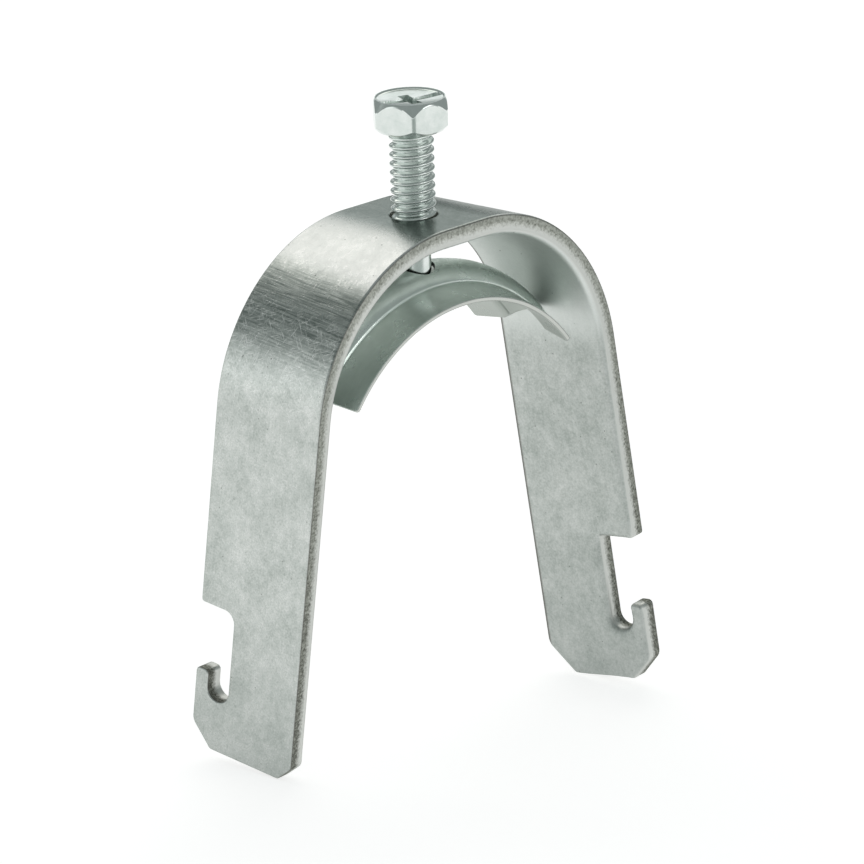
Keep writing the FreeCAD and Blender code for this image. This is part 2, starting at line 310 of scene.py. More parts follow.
@dataclass(frozen=True)
class GalvanisedStrip(Finish):
    """Mill-galvanised steel strip, sheared to length and drawn round the bend."""

    # Hot-dipped zinc dulls in the air, so the eye gets pale clouds and broad blurred highlights.
    # The forming tool left dark lines and bright scratches, and the shears bare speckled edges.
    # Painted shade darkens the strip towards its feet and along the far edge of its inner face.
    name: str = "galvanised_steel_strip"
    glancing: str = "#C0C4C2"
    relief_mm: float = 0.08
    relief_strength: float = 0.3
    zinc: Stops = ((0.5, "#A7AEA9"), (0.75, "#C1C6C2"), (1.0, "#D5D8D5"))
    pit: str = "#7C817C"
    # Colour of the forming lines, and of the painted shade towards the feet.
    scuff_and_shade: str = "#757D79"
    scratch: str = "#D5D8D5"
    # Darker clouds on the crown round the screw.
    crown_dark: str = "#8A928E"
    pressed: str = "#E8ECE9"
    drawn: str = "#D2D4D3"
    torn: Stops = ((0.33, "#71726B"), (0.5, "#A6A8A0"), (0.68, "#C9CBC4"))
    burnish: str = "#D3D5D1"
    # Dark corner of the cut edge, also the painted shade along the far edge of the inner face.
    corner: str = "#6F6D69"
    # The zinc's own grain, the scratches and the tears are finer than the picture can show, and
    # are drawn as coarse as they need to be seen.
    mottle: Cloud = Cloud(5.0, 2.0)
    bloom: Cloud = Cloud(1.1, 3.0, 0.6)
    grain: Cloud = Cloud(0.28, 1.0)
    tears: Cloud = Cloud(0.35, 4.0, 0.7)
    lines: Cloud = Cloud(0.28, 4.0, 0.6, 0.6)
    scratches: Cloud = Cloud(0.16, 1.0)
    # Scales that draw out the lines and the scratches, and the scratches' angles in radians.
    line_draw: tuple[float, float, float] = (1.0, 0.0504, 0.0504)
    scratch_draw: tuple[float, float, float] = (1.0, 1.0 / 14.0, 1.0)
    scratch_slants: tuple[float, ...] = (0.5, 1.2, -0.8)
    bloom_share: float = 0.5
    grain_share: float = 0.5
    pit_mm: float = 1.0
    pit_rarity: float = 0.78
    pit_fade: Fade = Fade(0.15, 0.03)
    line_fade: Fade = Fade(0.28, 0.66)
    scratch_fade: Fade = Fade(0.62, 0.72, 0.8)
    rub: Fade = Fade(0.0, 1.25, 1.5)
    gloss: Fade = Fade(0.55, 0.95, 0.24, 0.38)
    inner_roughness: float = 0.5
    crown_roughness: float = 0.2
    torn_roughness: float = 0.7
    # Places along the strip, from the screw.
    crown_zone: Fade = Fade(9.0, 5.0, 0.8)
    drawn_zone: Fade = Fade(19.0, 15.5, 0.75)
    line_start: Fade = Fade(16.5, 20.0)
    line_end: Fade = Fade(34.0, 25.0)
    scratch_start: Fade = Fade(20.0, 25.0)
    scratch_end: Fade = Fade(41.0, 32.0)
    pressed_zone: Fade = Fade(42.0, 34.0, 0.75)
    # Painted shade that darkens the strip towards the ends of its feet.
    foot_shade_zone: Fade = Fade(64.0, 89.3, 0.32)
    edge_wear: Fade = Fade(25.0, 90.0, -0.13, 0.1)
    # Depths below the outer face, and the far edge across the strip where painted shade lies.
    outer_skin: Fade = Fade(1.6, 1.2)
    inner_skin: Fade = Fade(1.4, 2.2)
    corner_line: Fade = Fade(0.34, 0.16, 0.8)
    torn_depth: Fade = Fade(2.5, 1.6)
    tear_reach: float = 1.2
    far_edge_shade: Fade = Fade(-8.4, -8.7, 0.85)
    # Heights as shares of the relief.
    pit_sink: float = -0.8
    line_sink: float = -0.8
    scratch_sink: float = -0.6
    tear_rise: float = 3.0

    def clouds(self, place: SheetPlace) -> Socket:
        """Soft zinc clouds of several millimetres, with finer ones and a grain inside them.

        Args:
            place: Place on the flat strip.

        Returns:
            Cloud value around 0.75.
        """
        mottle, bloom, grain = (
            add_node(place.tree, "TexNoise", cloud.inputs(place.spot))
            for cloud in (self.mottle, self.bloom, self.grain)
        )
        inputs = {"Factor": self.bloom_share, 2: mottle, 3: bloom}
        soft = add_node(place.tree, "Mix", inputs, data_type="FLOAT")
        inputs = {0: grain, 1: self.grain_share, 2: soft}
        return add_node(place.tree, "Math", inputs, operation="MULTIPLY_ADD")

    def pits(self, place: SheetPlace) -> Socket:
        """Small dark pits, round the centres of a few cells.

        Args:
            place: Place on the flat strip.

        Returns:
            One in a pit and nought elsewhere.
        """
        tree = place.tree
        cells = add_node(tree, "TexVoronoi", {"Vector": place.spot, "Scale": 1.0 / self.pit_mm})
        kind = add_node(tree, "SeparateColor", {"Color": cells.node.outputs["Color"]})
        rare = add_node(tree, "Math", {0: kind, 1: self.pit_rarity}, operation="GREATER_THAN")
        near = add_node(tree, "MapRange", self.pit_fade.inputs(cells))
        return add_node(tree, "Math", {0: near, 1: rare}, operation="MULTIPLY")

    def wear(self, place: SheetPlace) -> Wear:
        """Forming marks: lines across the strip, slanting scratches and a rubbed crown, and
        painted shade at the feet.

        Args:
            place: Place on the flat strip.

        Returns:
            Shares of the marks.
        """
        tree = place.tree
        outer, inner = (
            add_node(tree, "MapRange", skin.inputs(place.depth))
            for skin in (self.outer_skin, self.inner_skin)
        )
        zones = []
        for share, fades in (
            (inner, (self.pressed_zone,)),
            (outer, (self.drawn_zone,)),
            (outer, (self.crown_zone,)),
            (outer, (self.line_start, self.line_end)),
            (outer, (self.scratch_start, self.scratch_end)),
        ):
            for fade in fades:
                inputs = fade.inputs(place.away)
                near = add_node(tree, "MapRange", inputs, interpolation_type="SMOOTHSTEP")
                share = add_node(tree, "Math", {0: near, 1: share}, operation="MULTIPLY")
            zones.append(share)
        pressed, drawn, crown, lined, marked = zones
        dragged = add_node(tree, "Mapping", {"Vector": place.spot, "Scale": self.line_draw})
        lines = add_node(tree, "TexNoise", self.lines.inputs(dragged))
        lines = add_node(tree, "MapRange", self.line_fade.inputs(lines))
        dark = add_node(tree, "Math", {0: lines, 1: lined}, operation="MULTIPLY")
        # Painted shade: the strip darkens towards the ends of its feet, near the floor.
        foot_shade = add_node(tree, "MapRange", self.foot_shade_zone.inputs(place.away))
        dark = add_node(tree, "Math", {0: dark, 1: foot_shade}, operation="MAXIMUM")
        scratch = 0.0
        for slant in self.scratch_slants:
            inputs = {"Vector": place.spot, "Angle": slant}
            turned = add_node(tree, "VectorRotate", inputs, rotation_type="Z_AXIS")
            dragged = add_node(tree, "Mapping", {"Vector": turned, "Scale": self.scratch_draw})
            found = add_node(tree, "TexNoise", self.scratches.inputs(dragged))
            found = add_node(tree, "MapRange", self.scratch_fade.inputs(found))
            scratch = add_node(tree, "Math", {0: found, 1: scratch}, operation="MAXIMUM")
        scratch = add_node(tree, "Math", {0: scratch, 1: marked}, operation="MULTIPLY")
        return Wear(pressed, drawn, crown, dark, scratch)

    def sheared(self, place: SheetPlace) -> tuple[Socket, Socket, Socket]:
        """Cut edge: a torn speckled band towards the outer face, a burnished one inside it.

        Args:
            place: Place on the flat strip.

        Returns:
            Colour of the edge, share of torn metal and height of the tears.
        """
        tree = place.tree
        tear = add_node(tree, "TexNoise", self.tears.inputs(place.spot))
        inputs = {0: tear, 1: self.tear_reach, 2: place.depth}
        line = add_node(tree, "Math", inputs, operation="MULTIPLY_ADD")
        torn, worn, corner = (
            add_node(tree, "MapRange", fade.inputs(value))
            for fade, value in (
                (self.torn_depth, line),
                (self.edge_wear, place.away),
                (self.corner_line, place.depth),
            )
        )
        shade = add_node(tree, "Math", {0: tear, 1: worn}, operation="ADD")
        speckle = add_node(tree, "ValToRGB", {"Fac": shade}, ramp=self.torn)
        edge = hex_to_linear(self.burnish)
        for share, over in ((torn, speckle), (corner, hex_to_linear(self.corner))):
            inputs = {"Factor": share, 6: edge, 7: over}
            edge = add_node(tree, "Mix", inputs, out=2, data_type="RGBA")
        return edge, torn, tear

    def surface(self, tree: Tree) -> Surface:
        """Lays clouds, marks, pits and sheared edges over one another.

        Args:
            tree: Node tree of the material.

        Returns:
            The strip's surface.
        """
        place = SheetPlace.read(tree)
        clouds = self.clouds(place)
        pits = self.pits(place)
        wear = self.wear(place)
        edge, torn, tear = self.sheared(place)
        inner = add_node(tree, "MapRange", self.inner_skin.inputs(place.depth))
        # The crown round the screw is darkened in clouds.
        rub = add_node(tree, "MapRange", self.rub.inputs(clouds))
        # Painted shade: a dark line along the far edge of the inner face, where the rear cut edge
        # turns away.
        far = add_node(tree, "MapRange", self.far_edge_shade.inputs(place.across))
        broken = add_node(tree, "Math", {0: torn, 1: place.cut}, operation="MULTIPLY")
        rubbed, far_shade, ragged = (
            add_node(tree, "Math", {0: share, 1: within}, operation="MULTIPLY")
            for share, within in ((rub, wear.crown), (far, inner), (tear, broken))
        )
        height = clouds
        for share, weight in (
            (pits, self.pit_sink),
            (wear.dark, self.line_sink),
            (wear.scratch, self.scratch_sink),
            (ragged, self.tear_rise),
        ):
            inputs = {0: share, 1: weight, 2: height}
            height = add_node(tree, "Math", inputs, operation="MULTIPLY_ADD")
        return Surface(
            ground=add_node(tree, "ValToRGB", {"Fac": clouds}, ramp=self.zinc),
            coats=(
                (wear.pressed, self.pressed),
                (wear.drawn, self.drawn),
                (rubbed, self.crown_dark),
                (wear.dark, self.scuff_and_shade),
                (wear.scratch, self.scratch),
                (pits, self.pit),
                (place.cut, edge),
                (far_shade, self.corner),
            ),
            rough=add_node(tree, "MapRange", self.gloss.inputs(clouds)),
            rough_coats=(
                (inner, self.inner_roughness),
                (wear.crown, self.crown_roughness),
                (broken, self.torn_roughness),
            ),
            height=height,
        )


@dataclass(frozen=True)
class PlatedSheet(Finish):
    """Zinc-plated steel sheet, pressed to shape after it was cut."""

    # Electroplated zinc is smooth and a little green: the eye gets soft clear reflections with
    # faint draw streaks, pale cut edges with dark corners and a duller under side.
    # The pilot hole's cut wall carries painted shade.
    name: str = "zinc_plated_steel_sheet"
    relief_mm: float = 0.01
    relief_strength: float = 0.1
    plated: Stops = ((0.2, "#C8D2CB"), (0.8, "#EAF2ED"))
    edge: str = "#C3C6C1"
    corner: str = "#7E827E"
    # Nearly black: painted shade on the cut wall of the pilot hole, for the gap round the pilot.
    hole: str = "#3E4340"
    under: str = "#A9AFA9"
    clouds: Cloud = Cloud(4.0, 3.0)
    # Real draw streaks are finer than the picture can show, and are drawn coarser to be seen.
    streaks: Cloud = Cloud(0.7, 5.0, 0.7)
    streak_draw: tuple[float, float, float] = (0.28, 1.0, 0.28)
    streak_share: float = 0.3
    middle_depth: float = 0.35
    corner_line: Fade = Fade(0.16, 0.26, 0.8)
    hole_reach: Fade = Fade(3.4, 3.1)
    under_skin: Fade = Fade(0.5, 0.7)
    gloss: Fade = Fade(0.3, 0.7, 0.23, 0.36)

    def surface(self, tree: Tree) -> Surface:
        """Mixes clouds with streaks along the arch, and marks the edges and the under side.

        Args:
            tree: Node tree of the material.

        Returns:
            The sheet's surface.
        """
        place = SheetPlace.read(tree)
        dragged = add_node(tree, "Mapping", {"Vector": place.spot, "Scale": self.streak_draw})
        cloud = add_node(tree, "TexNoise", self.clouds.inputs(place.spot))
        streak = add_node(tree, "TexNoise", self.streaks.inputs(dragged))
        inputs = {"Factor": self.streak_share, 2: cloud, 3: streak}
        tone = add_node(tree, "Mix", inputs, data_type="FLOAT")
        inputs = {0: place.depth, 1: self.middle_depth}
        inset = add_node(tree, "Math", inputs, operation="SUBTRACT")
        inset = add_node(tree, "Math", {0: inset}, operation="ABSOLUTE")
        spread = add_node(tree, "VectorMath", {0: place.spot}, out="Value", operation="LENGTH")
        under, near_corner, near_hole, rough = (
            add_node(tree, "MapRange", fade.inputs(value))
            for fade, value in (
                (self.under_skin, place.depth),
                (self.corner_line, inset),
                (self.hole_reach, spread),
                (self.gloss, tone),
            )
        )
        # Painted shade: the pilot hole's cut wall is darkened.
        corner, hole = (
            add_node(tree, "Math", {0: near, 1: place.cut}, operation="MULTIPLY")
            for near in (near_corner, near_hole)
        )
        return Surface(
            ground=add_node(tree, "ValToRGB", {"Fac": tone}, ramp=self.plated),
            coats=(
                (under, self.under), (place.cut, self.edge),
                (corner, self.corner), (hole, self.hole),
            ),
            rough=rough,
            rough_coats=(),
            height=tone,
        )


@dataclass(frozen=True)
class PlatedScrew(Finish):
    """Zinc-plated steel screw, cold-headed with a rolled thread."""

    # Both tools leave the steel smooth, and bright zinc keeps it so: the eye gets clean sharp
    # reflections with a faint cloudiness.
    name: str = "zinc_plated_steel_screw"
    plated: Stops = ((0.35, "#D4DCD8"), (0.65, "#E2E7E4"))
    clouds: Cloud = Cloud(2.0 * MM, 4.0, 0.6)
    gloss: Fade = Fade(0.3, 0.7, 0.14, 0.23)

    def surface(self, tree: Tree) -> Surface:
        """Clouds the bright plating a little, by the screw's own coordinates in metres.

        Args:
            tree: Node tree of the material.

        Returns:
            The screw's surface.
        """
        place = add_node(tree, "TexCoord", out="Object")
        cloud = add_node(tree, "TexNoise", self.clouds.inputs(place))
        return Surface(
            ground=add_node(tree, "ValToRGB", {"Fac": cloud}, ramp=self.plated),
            coats=(),
            rough=add_node(tree, "MapRange", self.gloss.inputs(cloud)),
            rough_coats=(),
            height=cloud,
        )


def unit(vectors: Array) -> Array:
    """Scales each row to length one."""
    return vectors / np.linalg.norm(vectors, axis=-1, keepdims=True)


def following(rows: Array) -> Array:
    """The next row after each one, round the loop."""
    return np.roll(rows, -1, axis=0)


def rounded_loop(corners: Array, step: float) -> Array:
    """Closed outline: an arc at each corner that touches both sides, and evenly divided runs.

    Args:
        corners: Rows of x, y and fillet radius.
        step: Longest distance between points.

    Returns:
        Points of the outline, without a repeated end.
    """
    here = corners[:, :2]
    back = unit(np.roll(here, 1, axis=0) - here)
    ahead = unit(following(here) - here)
    half = np.arccos(np.clip((back * ahead).sum(1), -1, 1)) / 2.0
    radius = corners[:, 2]
    centre = here + unit(back + ahead) * (radius / np.sin(half))[:, None]
    start = here + back * (radius / np.tan(half))[:, None] - centre
    end = here + ahead * (radius / np.tan(half))[:, None] - centre
    share = np.linspace(0.0, 1.0, FILLET_POINTS)[None, :, None]
    swing = (np.pi - 2.0 * half)[:, None, None]
    arc = np.sin((1 - share) * swing) * start[:, None] + np.sin(share * swing) * end[:, None]
    points = (centre[:, None] + arc / np.sin(swing)).reshape(-1, 2)
    points = points[np.linalg.norm(following(points) - points, axis=1) > CLOSEST]
    span = following(points) - points
    pieces = np.ceil(np.linalg.norm(span, axis=1) / step).astype(int)
    begun = np.repeat(np.cumsum(pieces) - pieces, pieces)
    part = (np.arange(pieces.sum()) - begun) / np.repeat(pieces, pieces)
    return np.repeat(points, pieces, axis=0) + np.repeat(span, pieces, axis=0) * part[:, None]


def circle_loop(radius: float, count: int) -> Array:
    """Round hole as an outline that runs the other way round from the outer one."""
    angle = np.linspace(0.0, 2.0 * np.pi, count, endpoint=False)
    return radius * np.stack([np.cos(angle), np.sin(angle)], axis=1)


def outward(loop: Array) -> Array:
    """Normals of a closed outline, square to the mean of the two steps at each point.

    Args:
        loop: Closed outline with the metal on its right.

    Returns:
        Unit normals that point away from the metal.
    """
    step = unit(following(loop) - loop)
    tangent = unit(step + np.roll(step, 1, axis=0))
    return np.stack([-tangent[:, 1], tangent[:, 0]], axis=1)


def corner_room(loop: Array) -> Array:
    """How far an edge rounding may reach inwards without folding over at a tight corner.

    The room is a share of the corner's own radius, and grows with the distance from the corner.

    Args:
        loop: Closed outline with the metal on its right.

    Returns:
        Largest reach at each point.
    """
    step = following(loop) - loop
    length = np.linalg.norm(step, axis=1)
    before = np.roll(step, 1, axis=0)
    side = before[:, 0] * step[:, 1] - before[:, 1] * step[:, 0]
    turn = np.arctan2(side, (before * step).sum(1))
    radius = np.minimum(length, np.roll(length, 1)) / np.maximum(-turn, TINY)
    room = np.where(turn < -LEAST_TURN, ROOM_SHARE * radius, FREE_ROOM)
    along = np.cumsum(length) - length
    gap = np.abs(along[:, None] - along[None, :])
    gap = np.minimum(gap, length.sum() - gap)
    return (room[None, :] + ROOM_GROWTH * gap).min(axis=1)


def inside(points: Array, loops: list[Array]) -> Array:
    """Tells which points lie in the metal, by counting the outline edges to their right.

    Args:
        points: Points to test.
        loops: Closed outlines, holes included.

    Returns:
        One truth value for each point.
    """
    crossings = np.zeros(len(points), int)
    x, y = points[:, :1], points[:, 1:]
    for a in loops:
        b = following(a)
        spans = (a[:, 1] > y) != (b[:, 1] > y)
        rise = np.where(b[:, 1] == a[:, 1], 1.0, b[:, 1] - a[:, 1])
        meets = a[:, 0] + (y - a[:, 1]) / rise * (b[:, 0] - a[:, 0])
        crossings += (spans & (x < meets)).sum(1)
    return crossings % 2 == 1


def fill(loops: list[Array], extra: Array) -> Array:
    """Triangles between outlines, through extra points, by constrained Delaunay triangulation.

    Args:
        loops: Closed outlines, holes included.
        extra: Points inside the metal.

    Returns:
        Index triples into the outline points followed by the extra points.
    """
    points = np.vstack([*loops, extra])
    starts = np.cumsum([0] + [len(loop) for loop in loops])
    edges = []
    for first, loop in zip(starts, loops):
        index = first + np.arange(len(loop))
        edges += np.stack([index, following(index)], axis=1).tolist()
    made = delaunay_2d_cdt(points.tolist(), edges, [], 0, TOLERANCE)
    source = np.array([owners[0] for owners in made[3]])
    triangles = source[np.array(made[2])]
    return triangles[inside(points[triangles].mean(axis=1), loops)]


def ring_faces(rows: int, columns: int) -> tuple[Array, list[list[int]]]:
    """Faces between closed rings of points.

    Args:
        rows: Number of rings.
        columns: Points in each ring.

    Returns:
        Index of each point by ring and column, and the corners of each face.
    """
    index = np.arange(rows * columns).reshape(rows, columns)
    after = np.roll(index, -1, axis=1)
    quads = np.stack([index[:-1], index[1:], after[1:], after[:-1]], axis=-1)
    return index, quads.reshape(-1, 4).tolist()


def make_object(
    name: str, points: Array, faces: list[list[int]], normals: Array | None = None
) -> bpy.types.Object:
    """Makes a mesh object at the origin from points in millimetres.

    Args:
        name: Name of the piece.
        points: Vertices in millimetres.
        faces: Vertex indices of each face.
        normals: Unit normals of the vertices, or None to shade by the faces.

    Returns:
        The linked object, shaded smooth.
    """
    mesh = bpy.data.meshes.new(name)
    mesh.from_pydata((points * MM).tolist(), [], faces)
    mesh.polygons.foreach_set("use_smooth", np.ones(len(mesh.polygons), bool))
    if normals is not None:
        mesh.normals_split_custom_set_from_vertices(normals.tolist())
    mesh.update()
    piece = bpy.data.objects.new(name, mesh)
    bpy.context.scene.collection.objects.link(piece)
    return piece


@dataclass
class Piece(ABC):
    """Sub-assembly that is built as one mesh and dressed for its CAD body."""

    @abstractmethod
    def build(self, name: str) -> bpy.types.Object:
        """Makes the mesh.

        Args:
            name: Name of the piece.

        Returns:
            The mesh object.
        """

    def dress(self, name: str, finish: Finish, body: Body, slot: Slot) -> None:
        """Builds the piece, gives it its material and sets it in place of its CAD node.

        Args:
            name: Name of the piece.
            finish: Its surface.
            body: Body that it rides on, named like the node that it replaces.
            slot: Material slot of the record; not used.
        """
        piece = self.build(name)
        mesh = piece.data
        mesh.materials.append(finish.material())
        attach(piece, body.value)
        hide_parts(body.value)
        LOG.info("%s: %d vertices, %d faces", name, len(mesh.vertices), len(mesh.polygons))


@dataclass
class FormedSheet(Piece):
    """Sheet metal: flat outlines, each with a rounded cut edge, and a face on either side."""

    thickness: float
    outer_round: float
    outer_reach: float
    inner_round: float
    inner_reach: float
    grid_u: float
    grid_v: float

    @abstractmethod
    def outlines(self) -> list[Array]:
        """Outer outline and holes on the flat sheet."""

    @abstractmethod
    def form(self, flat: Array, depth: Array) -> tuple[Array, Array, Array, Array]:
        """Carries flat points into the formed sheet.

        Args:
            flat: Points on the flat sheet.
            depth: Depth of each point below the outer face.

        Returns:
            Formed points, and the unit vectors along u, along v and out of the outer face.
        """

    def roll(self, loop: Array) -> Array:
        """Share of the full inner rounding at each point of an outline."""
        return np.ones(len(loop))

    def edge_profile(self, loop: Array) -> tuple[Array, Array, Array]:
        """Section of the cut edge: a quarter ellipse, a straight wall and a quarter ellipse.

        Args:
            loop: Outline that the section is carried along.

        Returns:
            Setback from the outline, depth below the outer face and slope angle, each by point
            of the outline and by place in the section.
        """
        room = corner_room(loop)[:, None]
        share = self.roll(loop)[:, None]
        turn = np.linspace(np.pi / 2.0, 0.0, ROUND_POINTS)[None, :]
        back = turn[:, ::-1]
        outer = np.minimum(self.outer_reach, room)
        inner = np.minimum(self.inner_reach * share, room)
        inner_round = self.inner_round * share
        part = np.linspace(0.0, 1.0, WALL_POINTS)[None, 1:-1]
        wall = self.outer_round + (self.thickness - inner_round - self.outer_round) * part
        flush = np.zeros_like(wall)
        setback = np.hstack([outer * (1.0 - np.cos(turn)), flush, inner * (1.0 - np.cos(back))])
        depth = np.hstack([
            self.outer_round * (1.0 - np.sin(turn)) * np.ones_like(room),
            wall,
            self.thickness - inner_round * (1.0 - np.sin(back)),
        ])
        angle = np.hstack([
            np.arctan2(np.sin(turn) / self.outer_round, np.cos(turn) / outer),
            flush,
            -np.arctan2(np.sin(back) / inner_round, np.cos(back) / inner),
        ])
        return setback, depth, angle

    def filling(self, loops: list[Array]) -> Array:
        """Even grid of points inside the outlines, so that the faces follow the bends.

        Args:
            loops: Closed outlines, holes included.

        Returns:
            Points in the metal that keep clear of the outlines.
        """
        low, high = loops[0].min(axis=0), loops[0].max(axis=0)
        u = np.arange(low[0], high[0], self.grid_u)
        v = np.arange(low[1], high[1], self.grid_v)
        points = np.stack(np.meshgrid(u, v, indexing="ij"), axis=-1).reshape(-1, 2)
        points = points[inside(points, loops)]
        gaps = np.linalg.norm(points[:, None] - np.vstack(loops)[None], axis=2)
        return points[gaps.min(axis=1) > GRID_GAP * min(self.grid_u, self.grid_v)]

    def build(self, name: str) -> bpy.types.Object:
        """Makes the piece: edge bands carried along the outlines and two filled faces.

        Args:
            name: Name of the piece.

        Returns:
            The mesh object, with its flat place and its cut edges as attributes.
        """
        flats, depths, slopes, sides, faces, tops, bottoms = [], [], [], [], [], [], []
        first = 0
        for loop in self.outlines():
            setback, level, angle = self.edge_profile(loop)
            normal = outward(loop)
            flat = loop[:, None] - normal[:, None] * setback[:, :, None]
            count, width = setback.shape
            index = first + np.arange(count * width).reshape(count, width)
            after = following(index)
            quads = np.stack([index[:, :-1], after[:, :-1], after[:, 1:], index[:, 1:]], axis=-1)
            faces.append(quads.reshape(-1, 4))
            flats.append(flat.reshape(-1, 2))
            depths.append(level.ravel())
            slopes.append(angle.ravel())
            sides.append(np.repeat(normal, width, axis=0))
            tops.append((flat[:, 0], index[:, 0]))
            bottoms.append((flat[:, -1], index[:, -1]))
            first += count * width
        right_angle = np.pi / 2.0
        for rim, depth, slope in (
            (tops, 0.0, right_angle), (bottoms, self.thickness, -right_angle)
        ):
            loops = [points for points, _ in rim]
            extra = self.filling(loops)
            owner = np.concatenate([ids for _, ids in rim] + [first + np.arange(len(extra))])
            faces.append(owner[fill(loops, extra)])
            flats.append(extra)
            depths.append(np.full(len(extra), depth))
            slopes.append(np.full(len(extra), slope))
            sides.append(np.zeros((len(extra), 2)))
            first += len(extra)
        flat, depth, slope, side = map(np.concatenate, (flats, depths, slopes, sides))
        points, along_u, along_v, out = self.form(flat, depth)
        away = along_u * side[:, :1] + along_v * side[:, 1:]
        normals = unit(away * np.cos(slope)[:, None] + out * np.sin(slope)[:, None])
        turned = []
        for group in faces:
            corners = points[group]
            facing = np.cross(corners[:, 1] - corners[:, 0], corners[:, 2] - corners[:, 0])
            wrong = (facing * normals[group].mean(axis=1)).sum(axis=1) < 0.0
            turned += np.where(wrong[:, None], group[:, ::-1], group).tolist()
        piece = make_object(name, points, turned, normals)
        edge = np.clip((np.cos(slope) - CUT_START) / CUT_SPAN, 0.0, 1.0)
        self.mark(piece.data, np.column_stack([flat, depth]), edge)
        return piece

    def mark(self, mesh: bpy.types.Mesh, strip: Array, edge: Array) -> None:
        """Stores where each vertex lies on the flat sheet and how far it is on a cut edge.

        Args:
            mesh: Mesh that gets the attributes.
            strip: Place along and across the sheet and depth below the outer face.
            edge: Nought on either face, one on the edge's wall.
        """
        place = mesh.attributes.new("strip", "FLOAT_VECTOR", "POINT")
        place.data.foreach_set("vector", strip.astype(np.float32).ravel())
        cut = mesh.attributes.new("cut", "FLOAT", "POINT")
        cut.data.foreach_set("value", edge.astype(np.float32))


@dataclass
class Strap(FormedSheet):
    """Strip bent on the skew into a U, with a hook cut into each foot."""

    thickness: float = 2.9
    outer_round: float = 0.25
    outer_reach: float = 0.32
    inner_round: float = 0.7
    inner_reach: float = 1.1
    grid_u: float = 1.1
    grid_v: float = 1.8
    width: float = 18.0
    half_length: float = 89.3
    bend_radius: float = 20.2
    crown_flat: float = 7.4
    splay_deg: float = 1.8
    skew_deg: float = 7.2
    hole_radius: float = 3.27
    hole_points: int = 72
    outline_step: float = 0.9
    notch_top: float = 21.5
    notch_depth: float = 6.0
    slot_width: float = 3.8
    slot_bottom: float = 7.5
    # A little less than half the slot, so that its two arcs stay apart.
    slot_round_share: float = 0.4995
    hook_tip: float = 11.6
    hook_chamfer: float = 3.4
    tip_round: float = 0.7
    sharp_corner: float = 0.5
    right_notch_fillet: float = 0.5
    right_chamfer: float = 4.2
    left_notch_fillet: float = 1.8
    left_chamfer: float = 2.2
    # The inner rounding grows from this share over a span across the strip.
    least_roll: float = 0.35
    roll_start: float = -3.0
    roll_span: float = 5.0

    def foot(self, notch_fillet: float, plain_chamfer: float) -> Array:
        """Corners of one foot on the flat strip, from the notch's shoulder to the plain side.

        A cut corner is rounded by half its size at the side and by a quarter at the end.

        Args:
            notch_fillet: Radius between the notch's shoulder and its wall.
            plain_chamfer: Size of the cut corner on the plain side.

        Returns:
            Rows of distance along the strip, distance across it and fillet radius.
        """
        side = self.width / 2.0
        wall = side - self.notch_depth
        tip = wall + self.slot_width
        end = self.half_length
        slot_round = self.slot_round_share * self.slot_width
        return np.array([
            (end - self.notch_top, side, self.sharp_corner),
            (end - self.notch_top, wall, notch_fillet),
            (end - self.slot_bottom, wall, slot_round),
            (end - self.slot_bottom, tip, slot_round),
            (end - self.hook_tip, tip, self.tip_round),
            (end - self.hook_tip, side, self.tip_round),
            (end - self.hook_chamfer, side, self.hook_chamfer / 2.0),
            (end, side - self.hook_chamfer, self.hook_chamfer / 4.0),
            (end, plain_chamfer - side, plain_chamfer / 4.0),
            (end - plain_chamfer, -side, plain_chamfer / 2.0),
        ])

    def roll(self, loop: Array) -> Array:
        """Full rounding on the side where the shear came through, and about a third opposite."""
        grown = np.clip((loop[:, 1] - self.roll_start) / self.roll_span, 0.0, 1.0)
        return self.least_roll + (1.0 - self.least_roll) * grown

    def outlines(self) -> list[Array]:
        """Strip outline with both feet, the left one turned half round, and the screw hole.

        Returns:
            The outer outline and the hole.
        """
        right = self.foot(self.right_notch_fillet, self.right_chamfer)
        left = self.foot(self.left_notch_fillet, self.left_chamfer) * np.array([-1.0, -1.0, 1.0])
        strip = rounded_loop(np.vstack([right, left]), self.outline_step)
        return [strip, circle_loop(self.hole_radius, self.hole_points)]

    def form(self, flat: Array, depth: Array) -> tuple[Array, Array, Array, Array]:
        """Bends the strip: a flat crown, a circular arc either side and straight splayed legs.

        The distance along the bent profile is the strip's length turned by the skew angle, and
        the width is what is left.

        Args:
            flat: Points on the flat strip.
            depth: Depth of each point below the outer face.

        Returns:
            Formed points, and the unit vectors along the strip, across it and out of it.
        """
        skew = math.radians(self.skew_deg)
        splay = math.radians(self.splay_deg)
        cos, sin = math.cos(skew), math.sin(skew)
        rotated = np.array([[cos, -sin], [-sin, -cos]])
        run, y = (flat @ rotated.T).T
        sign = np.where(run < 0.0, -1.0, 1.0)
        run = np.abs(run)
        half_flat = self.crown_flat / 2.0
        outer = self.bend_radius + self.thickness
        middle = self.bend_radius + self.thickness / 2.0
        turn = np.clip((run - half_flat) / middle, 0.0, math.pi / 2.0 - splay)
        straight = np.maximum(run - half_flat - middle * (math.pi / 2.0 - splay), 0.0)
        level = outer - depth
        x = np.minimum(run, half_flat) + level * np.sin(turn) + straight * math.sin(splay)
        z = level * np.cos(turn) - outer - straight * math.cos(splay)
        points = np.stack([sign * x, y, z], axis=1)
        zero = np.zeros_like(x)
        out = np.stack([sign * np.sin(turn), zero, np.cos(turn)], axis=1)
        along = np.stack([np.cos(turn), zero, -sign * np.sin(turn)], axis=1)
        across = np.stack([zero, np.ones_like(x), zero], axis=1)
        along_u, along_v = (along * rotated[0, k] + across * rotated[1, k] for k in (0, 1))
        spin = np.array(Matrix.Rotation(skew, 3, "Z"))
        lift = np.array([0.0, 0.0, CROWN_HEIGHT])
        return points @ spin.T + lift, along_u @ spin.T, along_v @ spin.T, out @ spin.T


